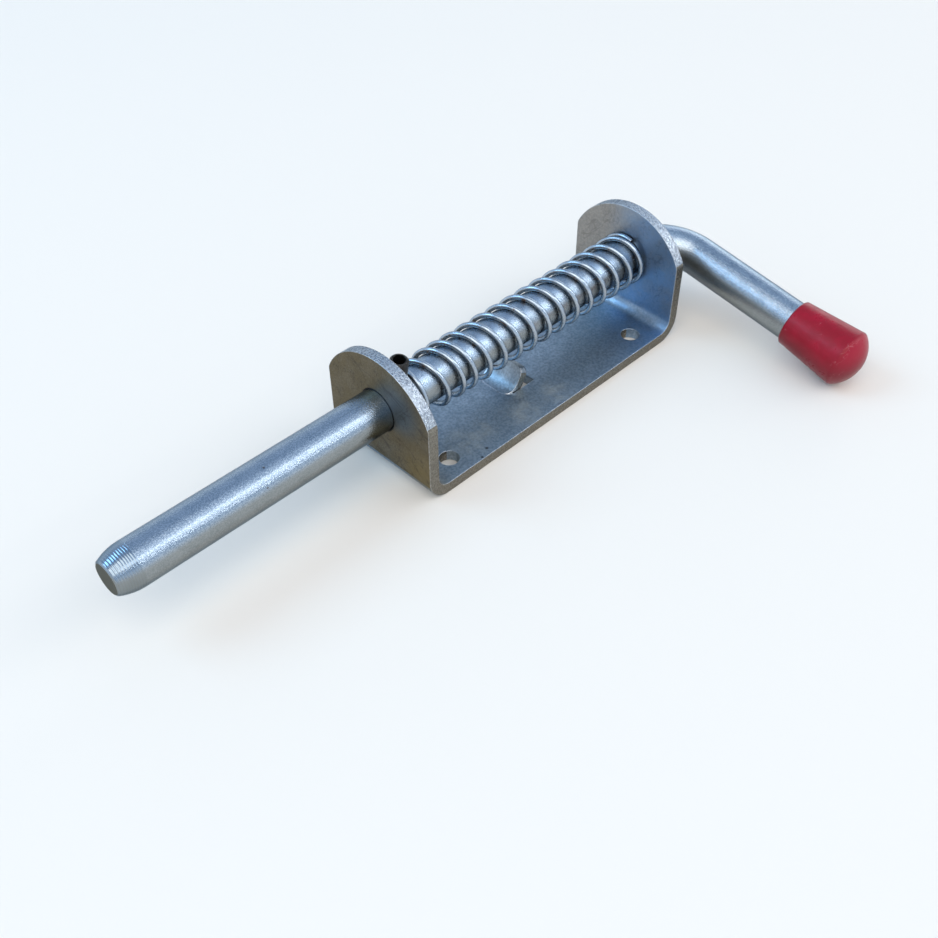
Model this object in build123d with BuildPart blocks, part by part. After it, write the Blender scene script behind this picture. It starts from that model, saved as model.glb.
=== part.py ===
"""Spring loaded bolt for gates and animal pens.

A bent round bar slides in a folded bracket and is pushed out by a coil spring. Units are millimetres.
X runs along the bolt with the nose towards -X, Y runs across the base plate with the handle towards -Y,
and Z is up. The origin is the middle of the base plate's underside.
"""
import math
import os

from build123d import *

# round bar
ROD_D = 12.0
NOSE_REACH = 79.4  # nose face ahead of the front ear
NOSE_L = 6.6  # turned length behind the nose face
NOSE_D = 8.8
NOSE_CHAMFER = 0.4
HANDLE_SETBACK = 15.0  # handle's axis behind the rear ear
HANDLE_BEND_R = 14.5  # on the bar's axis
HANDLE_L = 69.0  # from the bolt's axis to the bar's cut end
HANDLE_CHAMFER = 1.0

# folded bracket
SHEET_T = 3.2
STRIP_W = 37.5
BRACKET_L = 101.8
BEND_R = 3.6  # inside
AXIS_Z = 20.8
EAR_TOP_Z = 36.7
EAR_OVERWIDTH = 1.75  # the top arc's radius over half the strip's width
SHOULDER_R = 3.0
BORE_CLEARANCE = 0.1
SCREW_SPACING_X = 75.6
SCREW_SPACING_Y = 24.2
SCREW_HOLE_D = 5.6

# catch lanced up from the base plate
CATCH_W = 11.6
CATCH_T = 2.6  # drawn thinner than the sheet
CATCH_ROOT_X = -9.0
CATCH_BEND_R = 5.0  # inside, on the upper surface
CATCH_ANGLE = 60.0
CATCH_STRAIGHT = 4.5  # past the bend
CATCH_CORNER_R = 2.4
CATCH_ROOT_R = 3.2  # corners of the root, seen from above
WINDOW_START_X = -6.5
WINDOW_END_X = 2.0
LANCE_GAP = 0.2

# slotted tube pin through the bar
PIN_D = 5.0
PIN_L = 20.0
PIN_REACH = 14.5  # from the bolt's axis to the upper end
PIN_WALL = 0.8
PIN_SLOT = 0.9
PIN_CHAMFER = 0.5
PIN_FIT = 0.02
PIN_STOP_GAP = 0.3  # to the front ear

# coil spring with flat end turns
WIRE_D = 1.5
SPRING_OUT_D = 16.2
SPRING_TURNS = 16.4
END_TURNS = 0.75  # wire that lies flat, at each end
END_PITCH = 0.4
SPRING_LEAN = 1.1  # each open turn leans rearwards on the handle side
LEAN_TURNS = 0.5  # over which the lean begins
PUSHED_TURN = 2.0  # the turns about this one are pushed rearwards
PUSHED_BY = 2.3
PUSH_SPREAD = 1.15
SPRING_END_GAP = 0.25
SPRING_SAG = 0.3  # the spring hangs on the bar
SPRING_END_ANGLE = 110.0  # place of the wire's rear end, from +Y towards +Z
LENGTHS_PER_TURN = 18  # the wire is drawn in short straight lengths
WIRE_SIDES = 6

# soft cap on the handle
CAP_COVER = 19.5  # length on the bar
CAP_FLARE_L = 18.9  # from the mouth to the widest place
CAP_END_WALL = 4.0
CAP_MOUTH_D = 13.9
CAP_RIM_D = 17.4
CAP_LIP_CHAMFER = 0.4
CAP_RIM_R = 1.5
CAP_FIT = 0.03
CAP_FLOOR_GAP = 0.1

ROD_R = ROD_D / 2
EAR_X = BRACKET_L / 2
EAR_R = STRIP_W / 2 + EAR_OVERWIDTH
NOSE_X = -EAR_X - NOSE_REACH
HANDLE_X = EAR_X + HANDLE_SETBACK
CAP_MOUTH = HANDLE_L - CAP_COVER
CAP_RIM = CAP_MOUTH + CAP_FLARE_L
CAP_END = HANDLE_L + CAP_END_WALL
PIN_X = -EAR_X + SHEET_T + PIN_STOP_GAP + PIN_D / 2

# the handle hangs down until the cap's rim meets the ground that the base stands on
RIM_REACH = math.hypot(CAP_RIM, CAP_RIM_D / 2)
DROOP = math.asin((AXIS_Z - CAP_FLOOR_GAP) / RIM_REACH) - math.asin(CAP_RIM_D / 2 / RIM_REACH)
HANDLE_DIR = Vector(0, -math.cos(DROOP), -math.sin(DROOP))
PIN_DIR = Vector(0, -math.sin(DROOP), math.cos(DROOP))
AXIS_POINT = Vector(0, 0, AXIS_Z)

# local x runs along the bolt and local y along the handle
bar_plane = Plane(origin=AXIS_POINT, x_dir=(1, 0, 0), z_dir=-PIN_DIR)
# local x runs out along the handle, local y towards the rear of the bolt
handle_plane = Plane(origin=AXIS_POINT + Vector(HANDLE_X, 0, 0), x_dir=HANDLE_DIR, z_dir=PIN_DIR)
pin_plane = Plane(origin=AXIS_POINT + Vector(PIN_X, 0, 0), x_dir=(1, 0, 0), z_dir=PIN_DIR)

os.makedirs("parts", exist_ok=True)

# catch: a tongue bent up from the base plate, its root rounded where the sheet is drawn
CATCH_MID_Z = SHEET_T - CATCH_T / 2
CATCH_MID_R = CATCH_BEND_R + CATCH_T / 2
CATCH_TURN = math.radians(CATCH_ANGLE)
CATCH_SETBACK = CATCH_MID_R * math.tan(CATCH_TURN / 2)  # from the bend's ends to its corner
CATCH_CORNER_X = CATCH_ROOT_X + CATCH_SETBACK
CATCH_TIP = (
    CATCH_CORNER_X + (CATCH_SETBACK + CATCH_STRAIGHT) * math.cos(CATCH_TURN),
    CATCH_MID_Z + (CATCH_SETBACK + CATCH_STRAIGHT) * math.sin(CATCH_TURN),
)

with BuildPart() as catch:
    with BuildSketch(Plane.XZ):
        with BuildLine():
            FilletPolyline(
                (CATCH_ROOT_X - SHEET_T, CATCH_MID_Z),
                (CATCH_CORNER_X, CATCH_MID_Z),
                CATCH_TIP,
                radius=CATCH_MID_R,
            )
        trace(line_width=CATCH_T)
    extrude(amount=CATCH_W / 2, both=True)
    tip_corners = catch.edges().filter_by(
        lambda edge: abs(edge.length - CATCH_T) < 0.01 and edge.center().Z > 2 * SHEET_T
    )
    fillet(tip_corners, CATCH_CORNER_R)
    with BuildSketch() as catch_plan:
        with Locations((CATCH_ROOT_X, 0)):
            Rectangle(EAR_X - CATCH_ROOT_X, CATCH_W, align=(Align.MIN, Align.CENTER))
        fillet(catch_plan.vertices().group_by(Axis.X)[0], CATCH_ROOT_R)
    extrude(amount=EAR_TOP_Z, mode=Mode.INTERSECT)

# bracket: one strip with both ends folded up, and the catch in its middle
EAR_MID_X = EAR_X - SHEET_T / 2

with BuildPart() as bracket:
    with BuildSketch(Plane.XZ):
        with BuildLine():
            FilletPolyline(
                (-EAR_MID_X, EAR_TOP_Z),
                (-EAR_MID_X, SHEET_T / 2),
                (EAR_MID_X, SHEET_T / 2),
                (EAR_MID_X, EAR_TOP_Z),
                radius=BEND_R + SHEET_T / 2,
            )
        trace(line_width=SHEET_T)
    extrude(amount=STRIP_W / 2, both=True)
    # ears: straight sides, rounded shoulders and a round top
    with BuildSketch(Plane.YZ) as ear_outline:
        with Locations((0, EAR_TOP_Z - EAR_R)):
            Circle(EAR_R)
        Rectangle(STRIP_W, 2 * EAR_TOP_Z, mode=Mode.INTERSECT)
        with Locations((0, (EAR_TOP_Z - EAR_R) / 2)):
            Rectangle(STRIP_W, EAR_TOP_Z - EAR_R)
        fillet(ear_outline.vertices().group_by(Axis.Y)[-1], SHOULDER_R)
    extrude(amount=EAR_X, both=True, mode=Mode.INTERSECT)
    with BuildSketch(Plane.YZ):
        with Locations((0, AXIS_Z)):
            Circle(ROD_R + BORE_CLEARANCE)
    extrude(amount=EAR_X, both=True, mode=Mode.SUBTRACT)
    with BuildSketch():
        with GridLocations(SCREW_SPACING_X, SCREW_SPACING_Y, 2, 2):
            Circle(SCREW_HOLE_D / 2)
        with Locations(((WINDOW_START_X + WINDOW_END_X) / 2, 0)):
            Rectangle(WINDOW_END_X - WINDOW_START_X, CATCH_W + 2 * LANCE_GAP)
    extrude(amount=SHEET_T, mode=Mode.SUBTRACT)
    add(catch)
bracket.part.label = "bracket"

# bolt: one round bar with a turned nose, bent square into the handle, cross-drilled for the pin
NOSE_BACK_X = NOSE_X + NOSE_L

with BuildPart() as bolt_rod:
    with BuildLine(bar_plane) as bar_axis:
        FilletPolyline((NOSE_BACK_X, 0), (HANDLE_X, 0), (HANDLE_X, HANDLE_L), radius=HANDLE_BEND_R)
    with BuildSketch(Plane(origin=bar_axis.line @ 0, z_dir=bar_axis.line % 0)):
        Circle(ROD_R)
    sweep(path=bar_axis.line)
    with BuildSketch(bar_plane):
        with BuildLine():
            Polyline((NOSE_BACK_X, ROD_R), (NOSE_BACK_X, 0), (NOSE_X, 0), (NOSE_X, NOSE_D / 2))
            Spline(
                (NOSE_BACK_X, ROD_R),
                (NOSE_X, NOSE_D / 2),
                tangents=((-1, 0), (-NOSE_L, NOSE_D - ROD_D)),
            )
        make_face()
    revolve(axis=Axis(AXIS_POINT, (1, 0, 0)))
    chamfer(bolt_rod.faces().sort_by(Axis.X)[0].edges(), NOSE_CHAMFER)
    chamfer(bolt_rod.faces().sort_by(Axis(AXIS_POINT, HANDLE_DIR))[-1].edges(), HANDLE_CHAMFER)
    with BuildSketch(pin_plane):
        Circle(PIN_D / 2 + PIN_FIT)
    extrude(amount=ROD_D, both=True, mode=Mode.SUBTRACT)
bolt_rod.part.label = "bolt_rod"

# pin: a rolled tube with chamfered ends, its open seam towards the nose
with BuildPart() as roll_pin:
    with BuildSketch(pin_plane.offset(PIN_REACH - PIN_L)):
        Circle(PIN_D / 2)
        Circle(PIN_D / 2 - PIN_WALL, mode=Mode.SUBTRACT)
        with Locations((-PIN_D / 2, 0)):
            Rectangle(PIN_D, PIN_SLOT, mode=Mode.SUBTRACT)
    extrude(amount=PIN_L)
    outer_rims = roll_pin.edges().filter_by(GeomType.CIRCLE)
    chamfer(outer_rims.filter_by(lambda edge: edge.radius > PIN_D / 2 - PIN_WALL / 2), PIN_CHAMFER)
roll_pin.part.label = "roll_pin"

# spring: right-hand coil whose pitch opens out between the flat end turns
SPRING_FRONT_X = PIN_X + PIN_D / 2 + SPRING_END_GAP + WIRE_D / 2
SPRING_REAR_X = EAR_X - SHEET_T - SPRING_END_GAP - WIRE_D / 2
COIL_R = (SPRING_OUT_D - WIRE_D) / 2
OPEN_TURNS = SPRING_TURNS - 2 * END_TURNS
OPEN_PITCH = (SPRING_REAR_X - SPRING_FRONT_X - 2 * END_TURNS * END_PITCH) / OPEN_TURNS


def coil_point(turn):
    """Point on the wire's axis after a number of turns from the front end."""
    opened = min(max(turn - END_TURNS, 0), OPEN_TURNS)
    angle = math.radians(SPRING_END_ANGLE) + 2 * math.pi * (turn - SPRING_TURNS)
    lean = SPRING_LEAN * min(opened, OPEN_TURNS - opened, LEAN_TURNS) / LEAN_TURNS
    pushed = PUSHED_BY * math.exp(-(((turn - PUSHED_TURN) / PUSH_SPREAD) ** 2))
    along = (turn - opened) * END_PITCH + opened * OPEN_PITCH + pushed
    return (
        SPRING_FRONT_X + along - lean * math.cos(angle),
        COIL_R * math.cos(angle),
        AXIS_Z - SPRING_SAG + COIL_R * math.sin(angle),
    )


with BuildPart() as spring:
    steps = round(SPRING_TURNS * LENGTHS_PER_TURN)
    with BuildLine() as wire_axis:
        Polyline(*[coil_point(SPRING_TURNS * step / steps) for step in range(steps + 1)])
    with BuildSketch(Plane(origin=wire_axis.line @ 0, z_dir=wire_axis.line % 0)):
        RegularPolygon(WIRE_D / 2, WIRE_SIDES)
    sweep(path=wire_axis.line, transition=Transition.RIGHT)
spring.part.label = "spring"

# cap: a soft sleeve that widens towards its domed, closed end
with BuildPart() as handle_cap:
    with BuildSketch(handle_plane) as cap_section:
        with BuildLine():
            bore_r = ROD_R + CAP_FIT
            inner_end = HANDLE_L + CAP_FIT
            Polyline(
                (CAP_END, 0),
                (inner_end, 0),
                (inner_end, bore_r),
                (CAP_MOUTH, bore_r),
                (CAP_MOUTH, CAP_MOUTH_D / 2),
                (CAP_RIM, CAP_RIM_D / 2),
            )
            TangentArc((CAP_END, 0), (CAP_RIM, CAP_RIM_D / 2), tangent=(0, 1))
        make_face()
        fillet(cap_section.vertices().sort_by(Axis.Y)[-1], CAP_RIM_R)
        chamfer(cap_section.vertices().sort_by(Axis.X)[:2].sort_by(Axis.Y)[-1], CAP_LIP_CHAMFER)
    revolve(axis=Axis(handle_plane.origin, HANDLE_DIR))
handle_cap.part.label = "handle_cap"

export_step(bracket.part, "parts/bracket.step")
export_step(bolt_rod.part, "parts/bolt_rod.step")
export_step(roll_pin.part, "parts/roll_pin.step")
export_step(spring.part, "parts/spring.step")
export_step(handle_cap.part, "parts/handle_cap.step")
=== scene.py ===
# %% [markdown]
# # A spring loaded bolt, dressed in its real finishes
# The bolt is a bent bar that slides through two ears of a folded bracket. A coil spring round the bar
# pushes a cross pin against the front ear, and a red sleeve makes the handle kind to the hand.
# The solids come from the imported model. Here they get their plating, their rust and their scuffs, and
# the spring is wound again as a smooth round wire.

from math import cos, pi, radians, sin

import bpy
from mathutils import Matrix, Quaternion, Vector


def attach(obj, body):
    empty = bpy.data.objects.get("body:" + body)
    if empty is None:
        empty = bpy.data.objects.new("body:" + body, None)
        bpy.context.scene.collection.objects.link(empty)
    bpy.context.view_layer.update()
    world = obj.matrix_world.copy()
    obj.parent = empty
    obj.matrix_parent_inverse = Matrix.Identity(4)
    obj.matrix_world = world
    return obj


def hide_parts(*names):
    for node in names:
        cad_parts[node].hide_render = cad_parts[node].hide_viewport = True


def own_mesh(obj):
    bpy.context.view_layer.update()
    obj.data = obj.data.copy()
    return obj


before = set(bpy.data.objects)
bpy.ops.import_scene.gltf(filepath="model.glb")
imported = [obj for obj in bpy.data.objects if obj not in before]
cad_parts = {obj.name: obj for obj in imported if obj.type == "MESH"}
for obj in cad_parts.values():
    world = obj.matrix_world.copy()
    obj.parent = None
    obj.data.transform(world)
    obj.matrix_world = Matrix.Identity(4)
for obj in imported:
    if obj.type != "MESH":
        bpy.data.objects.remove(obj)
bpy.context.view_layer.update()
MM = 0.001
print("solids:", sorted(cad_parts))

# %% [markdown]
# ## Talking to node trees
# A finish is a tree of small nodes: one makes a noise, one turns it into a mask, one mixes two colours.
# They could be wired by hand in the shader editor. In a script it reads better with a few short helpers, so
# that a line says what a step does and not which socket it lands in. `feed` is the heart of them: it takes
# either a plain value or another node's output.

# %% Helpers for node trees
def feed(socket, value):
    """Give a socket a plain value, or link another node's output to it."""
    if isinstance(value, bpy.types.NodeSocket):
        socket.id_data.links.new(value, socket)
    elif socket.type == "RGBA" and len(value) == 3:
        socket.default_value = (*value, 1)
    else:
        socket.default_value = value


def put(tree, kind, inputs=None, **settings):
    """Add one node, set its own properties and feed its inputs."""
    node = tree.nodes.new(kind)
    for name, value in settings.items():
        setattr(node, name, value)
    for name, value in (inputs or {}).items():
        feed(node.inputs[name], value)
    return node


def maths(tree, operation, *values):
    """One sum, product or comparison of numbers."""
    return put(tree, "ShaderNodeMath", dict(enumerate(values)), operation=operation).outputs[0]


def rise(tree, value, start, end):
    """0 up to start and 1 from end, rising smoothly between them; it falls where start is the larger."""
    inputs = {"Value": value, "From Min": start, "From Max": end}
    return put(tree, "ShaderNodeMapRange", inputs, interpolation_type="SMOOTHSTEP").outputs["Result"]


def spread(tree, value, low, high):
    """Turn a mask of 0 to 1 into a value of low to high."""
    inputs = {"Value": value, "To Min": low, "To Max": high}
    return put(tree, "ShaderNodeMapRange", inputs).outputs["Result"]


def both(tree, *masks):
    """A mask that is there only where all of these are."""
    result = masks[0]
    for mask in masks[1:]:
        result = maths(tree, "MULTIPLY", result, mask)
    return result


def either(tree, *masks):
    """A mask that is there where any of these is."""
    result = masks[0]
    for mask in masks[1:]:
        result = maths(tree, "MAXIMUM", result, mask)
    return result


def all_but(tree, mask):
    """A mask of everything that this one leaves out."""
    return maths(tree, "SUBTRACT", 1.0, mask)


def parts_of(tree, vector):
    """The X, Y and Z of a place or a direction."""
    return put(tree, "ShaderNodeSeparateXYZ", {"Vector": vector}).outputs


def tint(tree, share, under, over):
    """Lay one colour over another by a mask."""
    return put(tree, "ShaderNodeMix", {0: share, 6: under, 7: over}, data_type="RGBA").outputs[2]


def scaled(tree, vector, scale=(1, 1, 1), turn=(0, 0, 0)):
    """Turn and stretch the coordinates that a pattern is read at."""
    inputs = {"Vector": vector, "Rotation": turn, "Scale": scale}
    return put(tree, "ShaderNodeMapping", inputs).outputs["Vector"]


def noise(tree, vector, scale, detail=2.0, roughness=0.5):
    """Soft random values round 0.5, with lumps of about 1 / scale."""
    inputs = {"Vector": vector, "Scale": scale, "Detail": detail, "Roughness": roughness}
    return put(tree, "ShaderNodeTexNoise", inputs).outputs["Fac"]


def group_of(name, inputs, outputs):
    """Start a shader group with named sockets, and return its tree, its inputs and its outputs."""
    tree = bpy.data.node_groups.new(name, "ShaderNodeTree")
    for title, kind, start in inputs:
        socket = tree.interface.new_socket(title, in_out="INPUT", socket_type=kind)
        if start is not None:
            socket.default_value = start
    for title, kind in outputs:
        tree.interface.new_socket(title, in_out="OUTPUT", socket_type=kind)
    return tree, tree.nodes.new("NodeGroupInput").outputs, tree.nodes.new("NodeGroupOutput").inputs


def use(tree, group, **inputs):
    """Place a shader group in a material, with this material's own values, and return its outputs."""
    node = put(tree, "ShaderNodeGroup", node_tree=group)
    for name, value in inputs.items():
        feed(node.inputs[name], value)
    return node.outputs


print("helpers ready")

# %% [markdown]
# ## Marks that several finishes share
# Zinc on steel is never one flat grey. It has a fine grain, cloudy patches where the bath or the weather
# left a bloom, pits and rust specks, and fine scratches from handling. Each of these is one shader group
# with named inputs, so that the sheet, the bar and the wire can use the same mark at their own sizes.
# Painted images would do it too, but a noise has no seams and stays sharp from close by.

# %% Fine grain
NUMBER, POINT = "NodeSocketFloat", "NodeSocketVector"
grain, gives, takes = group_of(
    "Fine grain",
    [("Vector", POINT, None), ("Size", NUMBER, 0.4 * MM)],
    [("Height", NUMBER), ("Shade", NUMBER)])
lumps = noise(grain, gives["Vector"], maths(grain, "DIVIDE", 1.0, gives["Size"]), 3.0, 0.6)
feed(takes["Height"], lumps)
feed(takes["Shade"], rise(grain, lumps, 0.36, 0.66))
print("group:", grain.name)

# %% Cloudy patches
cloud, gives, takes = group_of(
    "Cloudy patches",
    [("Vector", POINT, None), ("Size", NUMBER, 8 * MM), ("Start", NUMBER, 0.45), ("End", NUMBER, 0.65)],
    [("Mask", NUMBER)])
lumps = noise(cloud, gives["Vector"], maths(cloud, "DIVIDE", 1.0, gives["Size"]), 5.0, 0.55)
feed(takes["Mask"], rise(cloud, lumps, gives["Start"], gives["End"]))
print("group:", cloud.name)

# %% Pits and specks
speck, gives, takes = group_of(
    "Pits and specks",
    [("Vector", POINT, None), ("Spacing", NUMBER, 4 * MM), ("Radius", NUMBER, 0.12), ("Share", NUMBER, 0.2)],
    [("Mask", NUMBER)])
scale = maths(speck, "DIVIDE", 1.0, gives["Spacing"])
cells = put(speck, "ShaderNodeTexVoronoi", {"Vector": gives["Vector"], "Scale": scale}).outputs
ragged = noise(speck, gives["Vector"], maths(speck, "MULTIPLY", scale, 7.0), 2.0)
ragged = maths(speck, "MULTIPLY", maths(speck, "SUBTRACT", ragged, 0.5), 0.22)
distance = maths(speck, "ADD", cells["Distance"], ragged)
luck = parts_of(speck, cells["Color"])
chosen = maths(speck, "LESS_THAN", luck["X"], gives["Share"])
reach = maths(speck, "MULTIPLY", gives["Radius"], maths(speck, "ADD", luck["Y"], 0.45))
spot = rise(speck, distance, reach, maths(speck, "MULTIPLY", reach, 0.45))
feed(takes["Mask"], both(speck, spot, chosen))
print("group:", speck.name)

# %% Fine scratches
scratch, gives, takes = group_of(
    "Fine scratches",
    [("Vector", POINT, None), ("Length", NUMBER, 12 * MM), ("Gap", NUMBER, 1.2 * MM),
     ("Width", NUMBER, 0.02)],
    [("Mask", NUMBER)])
along = maths(scratch, "DIVIDE", 1.0, gives["Length"])
across = maths(scratch, "DIVIDE", 1.0, gives["Gap"])
stretch = put(scratch, "ShaderNodeCombineXYZ", {"X": along, "Y": across, "Z": across}).outputs[0]
stretched = put(scratch, "ShaderNodeVectorMath", {0: gives["Vector"], 1: stretch}, operation="MULTIPLY")
lines = stretched.outputs[0]
level = maths(scratch, "ABSOLUTE", maths(scratch, "SUBTRACT", noise(scratch, lines, 1.0, 1.0), 0.5))
line = rise(scratch, level, gives["Width"], 0.0)
broken = rise(scratch, noise(scratch, lines, 0.37, 1.0), 0.5, 0.6)
feed(takes["Mask"], both(scratch, line, broken))
print("group:", scratch.name)

# %% [markdown]
# ## Edges that catch the light
# Sheared sheet and cut bar have sharp edges in the solids, but plating and handling round them by a few
# tenths of a millimetre, and that thin bright line tells the eye that they are real. A Bevel modifier could
# cut it into the mesh. The solids are never changed here, so a Bevel node bends the normals near each edge
# instead, and the angle between the bent and the flat normal gives a mask for the wear.

# %% Worn edges
edges, gives, takes = group_of(
    "Worn edges",
    [("Radius", NUMBER, 0.4 * MM)],
    [("Mask", NUMBER), ("Normal", POINT)])
rounded = put(edges, "ShaderNodeBevel", {"Radius": gives["Radius"]}, samples=6).outputs["Normal"]
flat = put(edges, "ShaderNodeNewGeometry").outputs["Normal"]
likeness = put(edges, "ShaderNodeVectorMath", {0: rounded, 1: flat}, operation="DOT_PRODUCT")
feed(takes["Mask"], rise(edges, likeness.outputs["Value"], 0.985, 0.86))
feed(takes["Normal"], rounded)
print("group:", edges.name)

# %% [markdown]
# ## A start for every finish
# Each finish below begins the same way: an empty material with one Principled shader, and the place on the
# piece in the part's own frame. Object coordinates are used all through, because the pieces sit at the origin
# and a mark then stays where it is on the steel while the bolt moves.

# %% Start a finish
EDGE_TINT = (0.42, 0.46, 0.5, 1)  # zinc mirrors less at a grazing look


def finish_named(name, **constants):
    """A material with one Principled shader, the constants set on it, and where we are on the piece."""
    made = bpy.data.materials.new(name)
    made.use_nodes = True
    tree = made.node_tree
    shader = tree.nodes["Principled BSDF"]
    for socket, value in constants.items():
        shader.inputs[socket.replace("_", " ")].default_value = value
    place = tree.nodes.new("ShaderNodeTexCoord").outputs["Object"]
    return made, tree, shader.inputs, place, parts_of(tree, place)


def bumpy(tree, height, depth, normal):
    """Raise a height of 0 to 1 by a depth in metres, on top of a normal."""
    inputs = {"Height": height, "Distance": depth, "Normal": normal}
    return put(tree, "ShaderNodeBump", inputs).outputs["Normal"]


def near(tree, place, centre, reach):
    """A soft round mask about a point given in millimetres."""
    point = tuple(value * MM for value in centre)
    away = put(tree, "ShaderNodeVectorMath", {0: place, 1: point}, operation="DISTANCE")
    return rise(tree, away.outputs["Value"], reach * MM, 0.25 * reach * MM)


def distance_from(tree, first, second):
    """Length of a step of two parts at right angles."""
    squares = [maths(tree, "MULTIPLY", part, part) for part in (first, second)]
    return maths(tree, "SQRT", maths(tree, "ADD", *squares))


def facing(tree):
    """Which way the smooth surface looks, in the piece's own frame."""
    return parts_of(tree, tree.nodes.new("ShaderNodeTexCoord").outputs["Normal"])


def underneath(tree, start, end):
    """A mask of what looks downwards, which fades in as the surface turns away from the sky."""
    return rise(tree, facing(tree)["Z"], start, end)


def scratches(tree, place, turn, length, gap, width):
    """Fine scratches of a length and a gap in millimetres, turned to lie in a direction of their own."""
    return use(tree, scratch, Vector=scaled(tree, place, turn=turn), Length=length * MM, Gap=gap * MM,
               Width=width)["Mask"]


def dress(node, made):
    """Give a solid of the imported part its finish."""
    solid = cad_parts[node]
    for slot in solid.material_slots:
        slot.material = made
    print(node, "wears", made.name, "on", len(solid.data.polygons), "faces")


# %% [markdown]
# ## The bracket: zinc on folded sheet
# The bracket is one strip with both ends bent up. Its zinc has a blue tinge. A stronger blue on the base by
# the rear ear is a painted reflection of the sky. The ears are greyer and browner, and the outside of the front
# one is brown: a painted reflection of the ground. On top of that come the marks of sheet metal: a fine and a
# coarse grain, a soft cloudiness, milky stains near the open edge, scores, pits, torn rims where the strip was
# cut, brown-grey on the long sides by a painted reflection of the ground, the punch's bright line round the
# catch, and a dark ring at each bore, which is a painted shadow in the gap round the bar.
# One painted picture could hold all this. Masks read from the place on the sheet do it without a seam at the
# folds, so the first two cells find the rims, the outsides, the bores and the catch.

# %% Where the marks go on the sheet
zinc_sheet, tree, shader, place, axes = finish_named("zinc_sheet", Metallic=1.0, Specular_Tint=EDGE_TINT)
EAR_OUTSIDE, EAR_INSIDE, FOLD_TOP = 50.9 * MM, 47.7 * MM, 7.0 * MM
AXIS_Z, BORE_R = 20.8 * MM, 6.1 * MM
SKIN = 0.2 * MM  # how near to a face still counts as on it
away_x = maths(tree, "ABSOLUTE", axes["X"])
sheet_facing = parts_of(tree, tree.nodes.new("ShaderNodeNewGeometry").outputs["True Normal"])
side_on = maths(tree, "LESS_THAN", maths(tree, "ABSOLUTE", sheet_facing["X"]), 0.2)
ear_rim = both(tree, side_on, maths(tree, "GREATER_THAN", axes["Z"], FOLD_TOP))
strip_rim = maths(tree, "GREATER_THAN", maths(tree, "ABSOLUTE", sheet_facing["Y"]), 0.9)
sheared = either(tree, ear_rim, strip_rim)
on_ear = rise(tree, axes["Z"], 5 * MM, 15 * MM)
outside = both(tree, maths(tree, "GREATER_THAN", away_x, EAR_OUTSIDE - SKIN), all_but(tree, sheared))
# The outsides of the ears, the front one most, get a painted reflection of the ground.
ground_reflection_outside = both(tree, outside, rise(tree, axes["X"], 60 * MM, -20 * MM))
# A painted reflection of the sky: the base is bluer by the rear ear.
sky_reflection_by_rear_ear = both(tree, rise(tree, axes["X"], 22 * MM, 44 * MM), rise(tree, axes["Y"], 9 * MM, -7 * MM),
              all_but(tree, outside))
from_axis = distance_from(tree, axes["Y"], maths(tree, "SUBTRACT", axes["Z"], AXIS_Z))
# A painted shadow in the gap round the bar at each bore.
bore_gap_shadow = both(tree, rise(tree, from_axis, BORE_R + 0.35 * MM, BORE_R + 0.05 * MM),
                 maths(tree, "GREATER_THAN", away_x, EAR_INSIDE - SKIN))
print("found on the sheet: rims, ears, outsides, rinse, bore rings")

# %% The punch's line round the catch
CATCH_LINE_X, CATCH_LINE_Y, CATCH_ROOT_R = -5.8 * MM, 2.6 * MM, 3.2 * MM
away_y = maths(tree, "ABSOLUTE", axes["Y"])
past_x = maths(tree, "MAXIMUM", maths(tree, "SUBTRACT", CATCH_LINE_X, axes["X"]), 0.0)
past_y = maths(tree, "MAXIMUM", maths(tree, "SUBTRACT", away_y, CATCH_LINE_Y), 0.0)
from_line = maths(tree, "SUBTRACT", distance_from(tree, past_x, past_y), CATCH_ROOT_R)
from_line = maths(tree, "ABSOLUTE", from_line)
punch_line = both(tree, rise(tree, from_line, 0.3 * MM, 0.08 * MM), rise(tree, axes["X"], -4 * MM, -6 * MM),
                  rise(tree, axes["Z"], 2.9 * MM, 3.1 * MM))
print("found on the sheet: the catch, lanced at", round(CATCH_LINE_X / MM, 1), "mm")

# %% Marks on the sheet
STAINS = [((-10, -13.3, 3.2), 9), ((-30.3, -11.3, 3.2), 8), ((-22.9, -10.9, 3.2), 5), ((2.5, -14.4, 3.2), 7)]
DEEP_PITS = [((-28, -16.5, 3.2), 0.7), ((-31.4, -18.1, 3.2), 0.6)]
fine = use(tree, grain, Vector=place, Size=0.4 * MM)
coarse = use(tree, grain, Vector=place, Size=0.75 * MM)
mottle = use(tree, cloud, Vector=place, Size=5 * MM, Start=0.38, End=0.66)["Mask"]
stained = either(tree, *[near(tree, place, centre, reach) for centre, reach in STAINS])
bloom = both(tree, use(tree, cloud, Vector=place, Size=3.5 * MM, Start=0.3, End=0.72)["Mask"], stained)
corner = near(tree, place, (-50.9, -17, 7), 12)
# Beside the front ear's bore comes a bluish painted reflection.
reflection_by_bore = near(tree, place, (-50.9, -8, 25), 10)
handled = scratches(tree, place, turn=(0.5, 0.9, 0.3), length=9, gap=1.4, width=0.04)
rubbed = scratches(tree, place, turn=(1.1, -0.4, 1.2), length=14, gap=2.2, width=0.028)
scuffs = scratches(tree, place, turn=(-0.46, 0, pi / 2), length=9, gap=2, width=0.04)
scuffed = both(tree, outside, scuffs)
pits = either(tree, use(tree, speck, Vector=place, Spacing=14 * MM, Radius=0.035, Share=0.3)["Mask"],
              *[near(tree, place, centre, reach) for centre, reach in DEEP_PITS])
torn = rise(tree, noise(tree, scaled(tree, place, (2400, 1500, 1500)), 1.0, 3.0, 0.7), 0.34, 0.66)
worn = use(tree, edges, Radius=0.4 * MM)
chipped = both(tree, worn["Mask"], spread(tree, coarse["Shade"], 0.3, 1.0))
score_depth = spread(tree, outside, spread(tree, on_ear, 0.1, 0.24), 0.45)
scored = both(tree, either(tree, handled, rubbed, scuffed), score_depth)
print("sheet marks: grain, mottle, bloom, scores, pits, torn rims, chipped edges")

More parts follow.
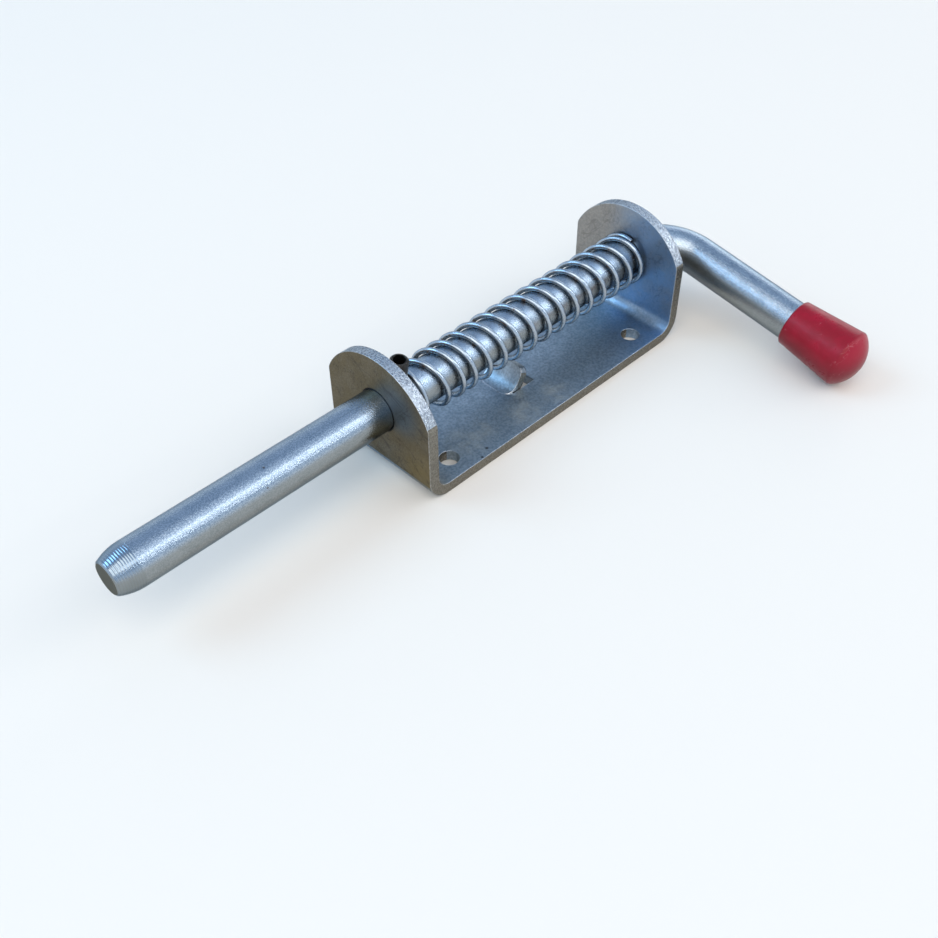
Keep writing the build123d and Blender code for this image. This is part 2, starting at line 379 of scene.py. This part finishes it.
# %% Zinc sheet: colour
BLUE_ZINC, PALE_ZINC, EAR_GROUND_REFLECTION_GREY = (0.345, 0.45, 0.55), (0.43, 0.535, 0.635), (0.31, 0.305, 0.295)
LIGHT_GRAIN, DARK_GRAIN = (0.46, 0.51, 0.55), (0.15, 0.2, 0.26)
EAR_GROUND_REFLECTION_BROWN, SKY_REFLECTION_BLUE = (0.33, 0.265, 0.195), (0.25, 0.42, 0.66)
BROWN, DARK_BROWN, BORE_SIDE_REFLECTION_BLUE = (0.2, 0.16, 0.095), (0.1, 0.085, 0.06), (0.13, 0.18, 0.23)
YELLOWED, MILKY = (0.27, 0.21, 0.095), (0.52, 0.545, 0.52)
EAR_TORN, EAR_SHINY = (0.26, 0.3, 0.36), (0.6, 0.67, 0.74)
STRIP_TORN_GROUND_REFLECTION, STRIP_SHINY_GROUND_REFLECTION = (0.19, 0.175, 0.145), (0.31, 0.29, 0.25)
SCORE_DARK, BARE_EDGE = (0.06, 0.055, 0.05), (0.68, 0.72, 0.76)
PIT_DARK, BORE_GAP_SHADOW_DARK = (0.05, 0.045, 0.04), (0.035, 0.034, 0.034)
colour = tint(tree, mottle, BLUE_ZINC, PALE_ZINC)
# A painted reflection of the ground makes the ears greyer.
colour = tint(tree, spread(tree, on_ear, 0.0, 0.75), colour, EAR_GROUND_REFLECTION_GREY)
colour = tint(tree, spread(tree, fine["Shade"], 0.0, 0.55), colour, LIGHT_GRAIN)
colour = tint(tree, spread(tree, coarse["Shade"], 0.5, 0.0), colour, DARK_GRAIN)
# A painted reflection of the ground makes the ears browner.
colour = tint(tree, spread(tree, on_ear, 0.0, 0.5), colour, EAR_GROUND_REFLECTION_BROWN)
# Painted reflection of the sky on the base by the rear ear.
colour = tint(tree, both(tree, sky_reflection_by_rear_ear, spread(tree, mottle, 0.65, 0.4)), colour, SKY_REFLECTION_BLUE)
# Painted reflection of the ground on the outsides, brown with a darker grain.
colour = tint(tree, both(tree, ground_reflection_outside, spread(tree, mottle, 0.92, 0.8)), colour, BROWN)
colour = tint(tree, both(tree, ground_reflection_outside, spread(tree, fine["Shade"], 0.4, 0.0)), colour, DARK_BROWN)
# Painted reflection: bluish beside the bore on the front ear's outside.
colour = tint(tree, both(tree, outside, spread(tree, reflection_by_bore, 0.0, 0.65)), colour, BORE_SIDE_REFLECTION_BLUE)
colour = tint(tree, spread(tree, corner, 0.0, 0.5), colour, YELLOWED)
colour = tint(tree, spread(tree, bloom, 0.0, 0.55), colour, MILKY)
colour = tint(tree, ear_rim, colour, tint(tree, torn, EAR_TORN, EAR_SHINY))
# Rims of the long sides: a real torn pattern, in a brown-grey that is a painted reflection of the ground.
colour = tint(tree, strip_rim, colour, tint(tree, torn, STRIP_TORN_GROUND_REFLECTION, STRIP_SHINY_GROUND_REFLECTION))
colour = tint(tree, scored, colour, SCORE_DARK)
colour = tint(tree, spread(tree, either(tree, chipped, punch_line), 0.0, 0.65), colour, BARE_EDGE)
colour = tint(tree, spread(tree, pits, 0.0, 0.8), colour, PIT_DARK)
# Painted shadow round the bar at each bore.
colour = tint(tree, spread(tree, bore_gap_shadow, 0.0, 0.85), colour, BORE_GAP_SHADOW_DARK)
feed(shader["Base Color"], colour)
print("sheet colours laid over one another:", len(tree.nodes), "nodes")

# %% Zinc sheet: gloss and relief
SHEET_RELIEF = 0.065 * MM
gloss = spread(tree, mottle, 0.42, 0.36)
gloss = maths(tree, "ADD", gloss, spread(tree, bloom, 0.0, 0.15))
gloss = maths(tree, "ADD", gloss, spread(tree, outside, 0.0, 0.1))
gloss = maths(tree, "SUBTRACT", gloss, spread(tree, either(tree, sheared, punch_line), 0.0, 0.12))
feed(shader["Roughness"], gloss)
sunk = maths(tree, "MULTIPLY", either(tree, handled, rubbed, pits), 0.3)
relief = maths(tree, "SUBTRACT", fine["Height"], sunk)
relief = maths(tree, "ADD", relief, maths(tree, "MULTIPLY", both(tree, sheared, torn), 0.7))
feed(shader["Normal"], bumpy(tree, relief, SHEET_RELIEF, worn["Normal"]))
dress("bracket", zinc_sheet)

# %% [markdown]
# ## The bolt: zinc on drawn bar
# The bolt starts as drawn round bar. The plating covers it with a sparkling grain, under which faint draw
# lines run along the bar and down the handle. The side by the open edge is smoother. The underside is darker
# and browner, a painted reflection of the ground, and the stretch inside the spring is cloudy and bluish.
# Its nose was turned in a lathe, which leaves fine rings, and its end face is plain and dull.
# One set of lines can't follow a bent bar in straight coordinates. Two do: one is stretched along the bolt,
# the other is turned to lie along the handle, and a mask swaps them in the bend.

# %% Marks along the bar
zinc_bar, tree, shader, place, axes = finish_named("zinc_bar", Metallic=1.0, Specular_Tint=EDGE_TINT)
BEND_START, BEND_END, HANDLE_DROOP = 53 * MM, 64 * MM, radians(10.2)
SPRING_FRONT, SPRING_REAR, SPRING_FADE = -41.4 * MM, 46.7 * MM, 2 * MM
DRAW_ALONG, DRAW_ACROSS = 14, 1500  # lumps in a metre
NICKS = [((-87.5, -1.6, 26.6), 0.5), ((-89.5, -5.2, 23.8), 0.4)]
fine = use(tree, grain, Vector=place, Size=0.36 * MM)
clouds = use(tree, cloud, Vector=place, Size=4 * MM, Start=0.36, End=0.66)["Mask"]
along_bolt = scaled(tree, place, (DRAW_ALONG, DRAW_ACROSS, DRAW_ACROSS))
along_handle = scaled(tree, place, (DRAW_ACROSS, DRAW_ALONG, DRAW_ACROSS), (-HANDLE_DROOP, 0, 0))
bolt_lines, handle_lines = [noise(tree, lines, 1.0, 3.0, 0.6) for lines in (along_bolt, along_handle)]
drawn = spread(tree, rise(tree, axes["X"], BEND_START, BEND_END), bolt_lines, handle_lines)
in_spring = both(tree, rise(tree, axes["X"], SPRING_FRONT - SPRING_FADE, SPRING_FRONT),
                 rise(tree, axes["X"], SPRING_REAR, SPRING_REAR - SPRING_FADE))
# The underside gets a painted reflection of the ground: darker and browner.
under = underneath(tree, 0.6, 0.25)
smoothed = both(tree, rise(tree, facing(tree)["Y"], -0.5, -0.72), all_but(tree, in_spring))
dark_marks = either(tree, use(tree, speck, Vector=place, Spacing=7 * MM, Radius=0.05, Share=0.3)["Mask"],
                    *[near(tree, place, centre, reach) for centre, reach in NICKS])
worn = use(tree, edges, Radius=0.25 * MM)
print("bar marks: grain, draw lines, pits, rubbed side, dull underside, stretch inside the spring")

# %% Turned nose
NOSE_FACE, NOSE_SHOULDER, RING_PITCH = -130.3 * MM, -123.7 * MM, 0.62 * MM
on_nose = rise(tree, axes["X"], NOSE_SHOULDER + 0.05 * MM, NOSE_SHOULDER - 0.05 * MM)
on_bar = all_but(tree, on_nose)
on_face = rise(tree, axes["X"], NOSE_FACE + 0.12 * MM, NOSE_FACE + 0.04 * MM)
wander = maths(tree, "MULTIPLY", noise(tree, place, 300.0, 2.0), 5.0)
turned = maths(tree, "ADD", maths(tree, "MULTIPLY", axes["X"], 2 * pi / RING_PITCH), wander)
rings = both(tree, on_nose, all_but(tree, on_face), maths(tree, "SINE", turned))
print("nose rings every", RING_PITCH / MM, "mm")

# %% Zinc bar
BAR_ZINC, BAR_PALE, BAR_GRAIN = (0.27, 0.355, 0.45), (0.33, 0.415, 0.51), (0.54, 0.62, 0.71)
DRAW_GREY, RING_GREY, SPRING_BLUE = (0.3, 0.35, 0.4), (0.22, 0.24, 0.27), (0.45, 0.58, 0.74)
UNDERSIDE_GROUND_REFLECTION, FACE_BROWN = (0.22, 0.19, 0.12), (0.16, 0.145, 0.105)
BAR_EDGE, NICK_DARK, BAR_RELIEF = (0.62, 0.65, 0.68), (0.09, 0.07, 0.06), 0.08 * MM
draw_lines = both(tree, on_bar, rise(tree, drawn, 0.58, 0.7), spread(tree, clouds, 0.3, 0.7))
colour = tint(tree, clouds, BAR_ZINC, BAR_PALE)
colour = tint(tree, both(tree, on_bar, spread(tree, fine["Shade"], 0.0, 0.65)), colour, BAR_GRAIN)
colour = tint(tree, draw_lines, colour, DRAW_GREY)
colour = tint(tree, spread(tree, rings, 0.0, 0.25), colour, RING_GREY)
colour = tint(tree, both(tree, in_spring, spread(tree, clouds, 0.0, 0.6)), colour, SPRING_BLUE)
# Painted reflection of the ground on the underside.
colour = tint(tree, spread(tree, under, 0.0, 0.55), colour, UNDERSIDE_GROUND_REFLECTION)
colour = tint(tree, spread(tree, on_face, 0.0, 0.9), colour, FACE_BROWN)
colour = tint(tree, spread(tree, worn["Mask"], 0.0, 0.3), colour, BAR_EDGE)
colour = tint(tree, spread(tree, dark_marks, 0.0, 0.75), colour, NICK_DARK)
feed(shader["Base Color"], colour)
gloss = maths(tree, "ADD", spread(tree, clouds, 0.2, 0.15), spread(tree, in_spring, 0.0, 0.08))
feed(shader["Roughness"], maths(tree, "ADD", gloss, spread(tree, on_face, 0.0, 0.25)))
grainy = both(tree, on_bar, fine["Height"], spread(tree, smoothed, 1.0, 0.35))
relief = maths(tree, "ADD", grainy, maths(tree, "MULTIPLY", drawn, 0.3))
relief = maths(tree, "ADD", relief, maths(tree, "MULTIPLY", rings, 0.35))
relief = maths(tree, "SUBTRACT", relief, maths(tree, "MULTIPLY", dark_marks, 0.5))
feed(shader["Normal"], bumpy(tree, relief, BAR_RELIEF, worn["Normal"]))
dress("bolt_rod", zinc_bar)

# %% [markdown]
# ## The cross pin: black spring steel
# The pin is a strip rolled into a slit tube and hardened, which leaves it black and slightly oily.
# A plain black would do from afar. A dark metal with a little grain, a few brown specks and brighter rims
# also holds up from close by.

# %% Black pin
SOOT, PALE_SOOT = (0.022, 0.021, 0.021), (0.05, 0.048, 0.046)
PIN_BROWN, PIN_BARE, PIN_RELIEF = (0.09, 0.05, 0.028), (0.2, 0.19, 0.18), 0.02 * MM
black_pin, tree, shader, place, _ = finish_named("black_pin", Metallic=0.85)
fine = use(tree, grain, Vector=place, Size=0.3 * MM)
worn = use(tree, edges, Radius=0.18 * MM)
brown = use(tree, speck, Vector=place, Spacing=1.6 * MM, Radius=0.2, Share=0.35)["Mask"]
colour = tint(tree, fine["Shade"], SOOT, PALE_SOOT)
colour = tint(tree, spread(tree, brown, 0.0, 0.6), colour, PIN_BROWN)
feed(shader["Base Color"], tint(tree, spread(tree, worn["Mask"], 0.0, 0.5), colour, PIN_BARE))
feed(shader["Roughness"], spread(tree, fine["Shade"], 0.42, 0.3))
feed(shader["Normal"], bumpy(tree, fine["Height"], PIN_RELIEF, worn["Normal"]))
dress("roll_pin", black_pin)

# %% [markdown]
# ## The sleeve: dipped red vinyl
# The sleeve on the handle is soft crimson vinyl. It is satin, with a skin of very shallow ripples, a slightly
# paler end, a darker underside that is painted shade, and a few pale scuffs where it has been knocked, most
# of them along the rim.
# A picture of scuffs could be wrapped round it. Here the way down the handle finds the rim and the end, and
# the shared scratches and specks do the knocks. Vinyl is no metal, so its colour is its own and only a thin
# gloss lies over it.

# %% Marks on the sleeve
red_vinyl, tree, shader, place, axes = finish_named("red_vinyl", Metallic=0.0, Specular_IOR_Level=0.3)
SLEEVE_RIM = 68.4 * MM
out = maths(tree, "MULTIPLY", axes["Y"], -cos(HANDLE_DROOP))
down = maths(tree, "MULTIPLY", maths(tree, "SUBTRACT", axes["Z"], AXIS_Z), sin(HANDLE_DROOP))
down_handle = maths(tree, "SUBTRACT", out, down)
from_rim = maths(tree, "ABSOLUTE", maths(tree, "SUBTRACT", down_handle, SLEEVE_RIM))
at_rim = rise(tree, from_rim, 1.6 * MM, 0.2 * MM)
on_end = rise(tree, down_handle, SLEEVE_RIM - 0.5 * MM, SLEEVE_RIM + 1.5 * MM)
ripple = noise(tree, place, 700.0, 3.0, 0.55)
fine = use(tree, grain, Vector=place, Size=0.25 * MM)
uneven = use(tree, cloud, Vector=place, Size=5 * MM, Start=0.36, End=0.66)["Mask"]
scuffs = scratches(tree, place, turn=(0.7, 0.2, 0.9), length=2.2, gap=0.9, width=0.02)
chips = use(tree, speck, Vector=place, Spacing=3.4 * MM, Radius=0.1, Share=0.16)["Mask"]
patchy = use(tree, cloud, Vector=place, Size=6 * MM, Start=0.6, End=0.66)["Mask"]
knocked = both(tree, either(tree, scuffs, chips), either(tree, at_rim, patchy))
print("sleeve marks: ripples, uneven gloss, knocks along a rim at", round(SLEEVE_RIM / MM, 1), "mm")

# %% Red vinyl
CRIMSON, LIGHT_CRIMSON, END_CRIMSON = (0.25, 0.0035, 0.016), (0.31, 0.005, 0.022), (0.34, 0.011, 0.034)
CRIMSON_PAINTED_SHADE, SCUFF_PINK, SLEEVE_RELIEF = (0.13, 0.0025, 0.009), (0.6, 0.25, 0.28), 0.03 * MM
colour = tint(tree, uneven, CRIMSON, LIGHT_CRIMSON)
colour = tint(tree, spread(tree, on_end, 0.0, 0.7), colour, END_CRIMSON)
# Painted shade: the sleeve is darker where it faces down.
colour = tint(tree, spread(tree, underneath(tree, 0.5, -0.3), 0.0, 0.75), colour, CRIMSON_PAINTED_SHADE)
feed(shader["Base Color"], tint(tree, spread(tree, knocked, 0.0, 0.65), colour, SCUFF_PINK))
gloss = maths(tree, "ADD", spread(tree, uneven, 0.36, 0.27), spread(tree, knocked, 0.0, 0.2))
feed(shader["Roughness"], gloss)
relief = maths(tree, "MULTIPLY", ripple, 2.0)
relief = maths(tree, "ADD", relief, maths(tree, "MULTIPLY", fine["Height"], 0.3))
worn = use(tree, edges, Radius=0.4 * MM)
feed(shader["Normal"], bumpy(tree, relief, SLEEVE_RELIEF, worn["Normal"]))
dress("handle_cap", red_vinyl)

# %% [markdown]
# ## The spring's finish: zinc on wire
# Inside the coils the wire is darker, and there damp gathers and the first brown spots appear. Underneath it
# is warmer, a painted reflection of the ground. Spots could be painted on by hand, but the distance from the
# bar's axis already tells inside from outside, and the shared specks do the rest.

# %% Zinc wire
COIL_R, WIRE_RELIEF = 7.35 * MM, 0.014 * MM
WIRE_ZINC, WIRE_PALE, WIRE_GRAIN = (0.35, 0.44, 0.54), (0.43, 0.52, 0.62), (0.6, 0.64, 0.69)
INSIDE_COIL_DARK, WIRE_GROUND_REFLECTION, RUST = (0.16, 0.155, 0.15), (0.3, 0.25, 0.19), (0.14, 0.065, 0.03)
zinc_wire, tree, shader, place, axes = finish_named("zinc_wire", Metallic=1.0, Specular_Tint=EDGE_TINT)
fine = use(tree, grain, Vector=place, Size=0.3 * MM)
from_axis = distance_from(tree, axes["Y"], maths(tree, "SUBTRACT", axes["Z"], AXIS_Z))
inside = rise(tree, from_axis, COIL_R + 0.1 * MM, COIL_R - 0.5 * MM)
clouds = use(tree, cloud, Vector=place, Size=3 * MM, Start=0.36, End=0.66)["Mask"]
spots = use(tree, speck, Vector=place, Spacing=2.6 * MM, Radius=0.24, Share=0.22)["Mask"]
spotty = use(tree, cloud, Vector=place, Size=14 * MM, Start=0.5, End=0.58)["Mask"]
damp = use(tree, cloud, Vector=place, Size=2.2 * MM, Start=0.58, End=0.66)["Mask"]
rust = either(tree, both(tree, spots, spotty), both(tree, inside, damp))
colour = tint(tree, clouds, WIRE_ZINC, WIRE_PALE)
colour = tint(tree, spread(tree, fine["Shade"], 0.0, 0.3), colour, WIRE_GRAIN)
# The wire is darker inside the coils, towards the bar.
colour = tint(tree, spread(tree, inside, 0.0, 0.6), colour, INSIDE_COIL_DARK)
# Painted reflection of the ground: the wire is warmer where it faces down.
colour = tint(tree, spread(tree, underneath(tree, 0.5, 0.0), 0.0, 0.3), colour, WIRE_GROUND_REFLECTION)
feed(shader["Base Color"], tint(tree, spread(tree, rust, 0.0, 0.85), colour, RUST))
gloss = maths(tree, "ADD", spread(tree, clouds, 0.3, 0.22), spread(tree, rust, 0.0, 0.35))
feed(shader["Roughness"], gloss)
flat = tree.nodes.new("ShaderNodeNewGeometry").outputs["Normal"]
feed(shader["Normal"], bumpy(tree, fine["Height"], WIRE_RELIEF, flat))
print("finish:", zinc_wire.name)

# %% [markdown]
# ## The spring: one rule, one wire
# A compression spring is a helix. Its first and last turns lie almost flat, so that it can push squarely, and
# between them the turns stand apart, each leaning a little. Those just behind the pin stand closer together.
# It could be a Screw modifier or a curve drawn by hand, but its shape follows a rule, so Geometry Nodes wind
# it: a straight line gets its points, the rule moves each one onto the helix, and a round profile follows it.
# The rule is the same as the solid spring's, so the wire lies where the solid lies. Only the wire is round
# here, and the coil hangs a little lower on the bar, as a loose spring does.

# %% Start the winding tree
winding = bpy.data.node_groups.new("Coil spring", "GeometryNodeTree")
winding.interface.new_socket("Geometry", in_out="OUTPUT", socket_type="NodeSocketGeometry")
COIL_SAG = 0.55 * MM  # how far the loose coil hangs below the bar's axis
SPRING_SIZES = {
    "Turns": 16.4,
    "End Turns": 0.75,
    "End Pitch": 0.4 * MM,
    "Lean": 1.1 * MM,
    "Lean Turns": 0.5,
    "Pushed Turn": 2.0,
    "Pushed By": 2.3 * MM,
    "Push Spread": 1.15,
    "Front": SPRING_FRONT,
    "Rear": SPRING_REAR,
    "Coil Radius": COIL_R,
    "Wire Radius": 0.75 * MM,
    "Axis Height": AXIS_Z - COIL_SAG,
    "End Angle": radians(110),
}
kinds = {**{name: NUMBER for name in SPRING_SIZES}, "Points": "NodeSocketInt", "Sides": "NodeSocketInt",
         "Finish": "NodeSocketMaterial"}
knobs = {name: winding.interface.new_socket(name, in_out="INPUT", socket_type=kind)
         for name, kind in kinds.items()}
size = winding.nodes.new("NodeGroupInput").outputs
print("spring inputs:", list(knobs))

# %% How far along the bar each point of the wire is
share_of_wire = winding.nodes.new("GeometryNodeSplineParameter").outputs["Factor"]
turn = maths(winding, "MULTIPLY", share_of_wire, size["Turns"])
flat_turns = maths(winding, "MULTIPLY", size["End Turns"], 2.0)
open_turns = maths(winding, "SUBTRACT", size["Turns"], flat_turns)
opened = maths(winding, "MAXIMUM", maths(winding, "SUBTRACT", turn, size["End Turns"]), 0.0)
opened = maths(winding, "MINIMUM", opened, open_turns)
length = maths(winding, "SUBTRACT", size["Rear"], size["Front"])
open_length = maths(winding, "SUBTRACT", length, maths(winding, "MULTIPLY", flat_turns, size["End Pitch"]))
along = maths(winding, "MULTIPLY", maths(winding, "SUBTRACT", turn, opened), size["End Pitch"])
open_share = maths(winding, "DIVIDE", opened, open_turns)
along = maths(winding, "ADD", along, maths(winding, "MULTIPLY", open_length, open_share))
from_push = maths(winding, "SUBTRACT", turn, size["Pushed Turn"])
from_push = maths(winding, "DIVIDE", from_push, size["Push Spread"])
push = maths(winding, "MULTIPLY", maths(winding, "POWER", from_push, 2.0), -1.0)
push = maths(winding, "EXPONENT", push)
along = maths(winding, "ADD", along, maths(winding, "MULTIPLY", size["Pushed By"], push))
along = maths(winding, "ADD", along, size["Front"])
print("rule along the bar:", len(winding.nodes), "nodes")

# %% Where it is round the bar
angle = maths(winding, "MULTIPLY", maths(winding, "SUBTRACT", turn, size["Turns"]), 2 * pi)
angle = maths(winding, "ADD", angle, size["End Angle"])
across = maths(winding, "COSINE", angle)
leaning = maths(winding, "MINIMUM", opened, maths(winding, "SUBTRACT", open_turns, opened))
leaning = maths(winding, "DIVIDE", maths(winding, "MINIMUM", leaning, size["Lean Turns"]), size["Lean Turns"])
lean = maths(winding, "MULTIPLY", maths(winding, "MULTIPLY", size["Lean"], leaning), across)
along = maths(winding, "SUBTRACT", along, lean)
sideways = maths(winding, "MULTIPLY", size["Coil Radius"], across)
upward = maths(winding, "MULTIPLY", size["Coil Radius"], maths(winding, "SINE", angle))
upward = maths(winding, "ADD", upward, size["Axis Height"])
helix = put(winding, "ShaderNodeCombineXYZ", {"X": along, "Y": sideways, "Z": upward}).outputs[0]
print("whole winding rule:", len(winding.nodes), "nodes")

# %% Wind the wire
line = winding.nodes.new("GeometryNodeCurvePrimitiveLine").outputs["Curve"]
points = put(winding, "GeometryNodeResampleCurve", {"Curve": line, "Count": size["Points"]}).outputs["Curve"]
wound = put(winding, "GeometryNodeSetPosition", {"Geometry": points, "Position": helix}).outputs["Geometry"]
circle = {"Resolution": size["Sides"], "Radius": size["Wire Radius"]}
profile = put(winding, "GeometryNodeCurvePrimitiveCircle", circle).outputs["Curve"]
sweep = {"Curve": wound, "Profile Curve": profile, "Fill Caps": True}
wire = put(winding, "GeometryNodeCurveToMesh", sweep).outputs["Mesh"]
solid = put(winding, "GeometryNodeRealizeInstances", {"Geometry": wire}).outputs["Geometry"]
smooth = put(winding, "GeometryNodeSetShadeSmooth", {"Geometry": solid}).outputs["Geometry"]
plated = put(winding, "GeometryNodeSetMaterial", {"Geometry": smooth, "Material": size["Finish"]})
feed(winding.nodes.new("NodeGroupOutput").inputs["Geometry"], plated.outputs["Geometry"])
print("winding tree:", len(winding.nodes), "nodes")

# %% Keep the wound wire as a mesh
coil_spring = bpy.data.objects.new("coil_spring", bpy.data.meshes.new("coil_spring"))
bpy.context.scene.collection.objects.link(coil_spring)
winder = coil_spring.modifiers.new("Coil spring", "NODES")
winder.node_group = winding
for name, value in {**SPRING_SIZES, "Points": 850, "Sides": 14, "Finish": zinc_wire}.items():
    winder[knobs[name].identifier] = value
evaluated = coil_spring.evaluated_get(bpy.context.evaluated_depsgraph_get())
wound_mesh = bpy.data.meshes.new_from_object(evaluated)
coil_spring.modifiers.clear()
coil_spring.data = wound_mesh
print("spring:", len(wound_mesh.polygons), "faces,", wound_mesh.materials[0].name)

# %% [markdown]
# ## The spring moves with the bolt
# The pin pushes the front of the spring back, and the rear ear holds the other end. The wire could be wound
# again for each place of the bolt. A squash along the bar is enough: the spring rides on the body that slides
# with the pin, and it shortens towards its front end while the bolt is drawn back.

# %% Fit the spring to the moving part
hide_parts("spring")
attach(coil_spring, "spring")
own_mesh(coil_spring)

# %% [markdown]
# ## A floor and soft light
# Bright metal shows its surroundings more than itself. A single bare lamp would leave the zinc black with
# one hard glint, so the light is built from what the bar should mirror: a cool dome that pales towards the
# horizon, and soft lamps whose mirror images are the bright band on the bar and the thin line beside it.
# The floor is a plain pale board that takes the bolt's shadow. It could end in a curved backdrop, which would
# hide its edge. Here the board fades, far from the bolt, into the colour of the horizon. Only the camera and
# mirrors see that fade, so it throws no light on the bolt's dull parts, and a low view shows no edge.

# %% Floor finish
BOARD = (0.83, 0.79, 0.735, 1)
HORIZON, HAZE_START, HAZE_END = (0.93, 0.98, 1.05), 0.7, 2.4
floor_finish = bpy.data.materials.new("pale_floor")
floor_finish.use_nodes = True
tree = floor_finish.node_tree
board = tree.nodes["Principled BSDF"]
board.inputs["Base Color"].default_value = BOARD
board.inputs["Roughness"].default_value = 0.9
board.inputs["Specular IOR Level"].default_value = 0.1
place = tree.nodes.new("ShaderNodeTexCoord").outputs["Object"]
from_middle = put(tree, "ShaderNodeVectorMath", {0: place}, operation="LENGTH").outputs["Value"]
rays = tree.nodes.new("ShaderNodeLightPath").outputs
seen = either(tree, rays["Is Camera Ray"], rays["Is Glossy Ray"], rays["Is Transmission Ray"])
far_off = both(tree, seen, rise(tree, from_middle, HAZE_START, HAZE_END))
haze = put(tree, "ShaderNodeEmission", {"Color": HORIZON}).outputs["Emission"]
blended = put(tree, "ShaderNodeMixShader", {0: far_off, 1: board.outputs["BSDF"], 2: haze}).outputs["Shader"]
feed(tree.nodes["Material Output"].inputs["Surface"], blended)
print("floor fades from", HAZE_START, "to", HAZE_END, "m")

# %% Floor
FLOOR_HALF, FLOOR_Z = 4.0, -0.05 * MM
corners = [(x * FLOOR_HALF, y * FLOOR_HALF, FLOOR_Z) for x, y in ((-1, -1), (1, -1), (1, 1), (-1, 1))]
floor_mesh = bpy.data.meshes.new("floor")
floor_mesh.from_pydata(corners, [], [(0, 1, 2, 3)])
floor_mesh.materials.append(floor_finish)
floor = bpy.data.objects.new("floor", floor_mesh)
bpy.context.scene.collection.objects.link(floor)
print("floor", 2 * FLOOR_HALF, "m wide")

# %% Dome
ZENITH = (0.38, 0.49, 0.66)
DOME = [(0.0, (0.6, 0.6, 0.6)), (0.5, HORIZON), (0.62, (0.81, 0.9, 1.0)), (0.72, (0.5, 0.6, 0.74)),
        (0.86, ZENITH), (1.0, ZENITH)]
dome = bpy.data.worlds.new("dome")
dome.use_nodes = True
bpy.context.scene.world = dome
tree = dome.node_tree
direction = tree.nodes.new("ShaderNodeTexCoord").outputs["Generated"]
height = maths(tree, "MULTIPLY", parts_of(tree, direction)["Z"], 0.5)
ramp = put(tree, "ShaderNodeValToRGB", {"Fac": maths(tree, "ADD", height, 0.5)})
stops = ramp.color_ramp.elements
while len(stops) < len(DOME):
    stops.new(1.0)
for stop, (position, colour) in zip(stops, DOME):
    stop.position = position
    stop.color = (*colour, 1)
feed(tree.nodes["Background"].inputs["Color"], ramp.outputs["Color"])
print("dome of", len(DOME), "bands")

# %% [markdown]
# ## Six soft lamps
# The bar shows one bright band along its length, a thin bright line below it and a weaker glow above. One
# big lamp could light all of it, but each of these is a mirror image with its own width, so each is a lamp
# of its own. A low side lamp stands beyond the rear ear, a broad warm fill lamp above the camera, and a cool
# back lamp on the far side of the bolt.

# %% Lamps
NEAR_WHITE, PALE_BLUE = (1.0, 0.97, 0.93), (0.92, 0.97, 1.0)
WARM, COOL = (1.0, 0.88, 0.71), (0.42, 0.72, 1.0)


def soft_lamp(name, towards, distance, long_side, short_side, brightness, colour):
    """A rectangular soft lamp that looks at the bolt, its long side lying along the bar."""
    back = Vector(towards).normalized()
    side = (Vector((1, 0, 0)) - back * back.x).normalized()
    light = bpy.data.lights.new(name, "AREA")
    light.shape = "RECTANGLE"
    light.size, light.size_y = long_side, short_side
    light.energy = brightness * pi * long_side * short_side
    light.color = colour
    lamp = bpy.data.objects.new(name, light)
    turned = Matrix((side, back.cross(side), back)).transposed().to_4x4()
    lamp.matrix_world = Matrix.Translation(back * distance) @ turned
    bpy.context.scene.collection.objects.link(lamp)
    print(name, round(light.energy, 2), "W")


# name, where it stands as seen from the bolt, distance, long and short side in metres, brightness, colour
LAMPS = [
    ("band_lamp", (0.5, -0.56, 0.66), 2.0, 2.6, 0.6, 1.9, NEAR_WHITE),
    ("glow_lamp", (0.36, -0.257, 0.897), 2.0, 2.6, 0.85, 0.4, PALE_BLUE),
    ("line_lamp", (0.508, -0.73, 0.46), 2.0, 2.6, 0.05, 7.0, NEAR_WHITE),
    ("side_lamp", (0.91, 0.36, 0.2), 2.0, 0.6, 1.6, 1.5, NEAR_WHITE),
    ("fill_lamp", (-0.45, -0.35, 0.82), 2.5, 2.2, 2.2, 2.0, WARM),
    ("back_lamp", (-0.5, 0.52, 0.69), 2.0, 1.0, 1.0, 4.0, COOL),
]
for values in LAMPS:
    soft_lamp(*values)

# %% [markdown]
# ## The camera
# The picture was taken from above the nose, looking down along the bolt to the handle. A camera can be turned
# by hand until the picture fits. Here its place and lens were worked out from the bracket's straight edges,
# round ears and bores, and it leans by under half a degree.

# %% Camera
EYE, AIM = Vector((-0.1881, -0.1709, 0.2092)), Vector((-0.0357, -0.0174, 0.0013))
SENSOR_MM, LENS_MM, LEAN = 36.0, 43.49, radians(-0.43)
lens = bpy.data.cameras.new("camera")
lens.sensor_width, lens.lens = SENSOR_MM, LENS_MM
lens.clip_start = 0.01
camera = bpy.data.objects.new("camera", lens)
camera.location = EYE
camera.rotation_mode = "QUATERNION"
camera.rotation_quaternion = (AIM - EYE).to_track_quat("-Z", "Y") @ Quaternion((0, 0, 1), LEAN)
bpy.context.scene.collection.objects.link(camera)
bpy.context.scene.camera = camera
bpy.context.scene.view_settings.view_transform = "Standard"
print("camera looks from", [round(value, 3) for value in EYE])
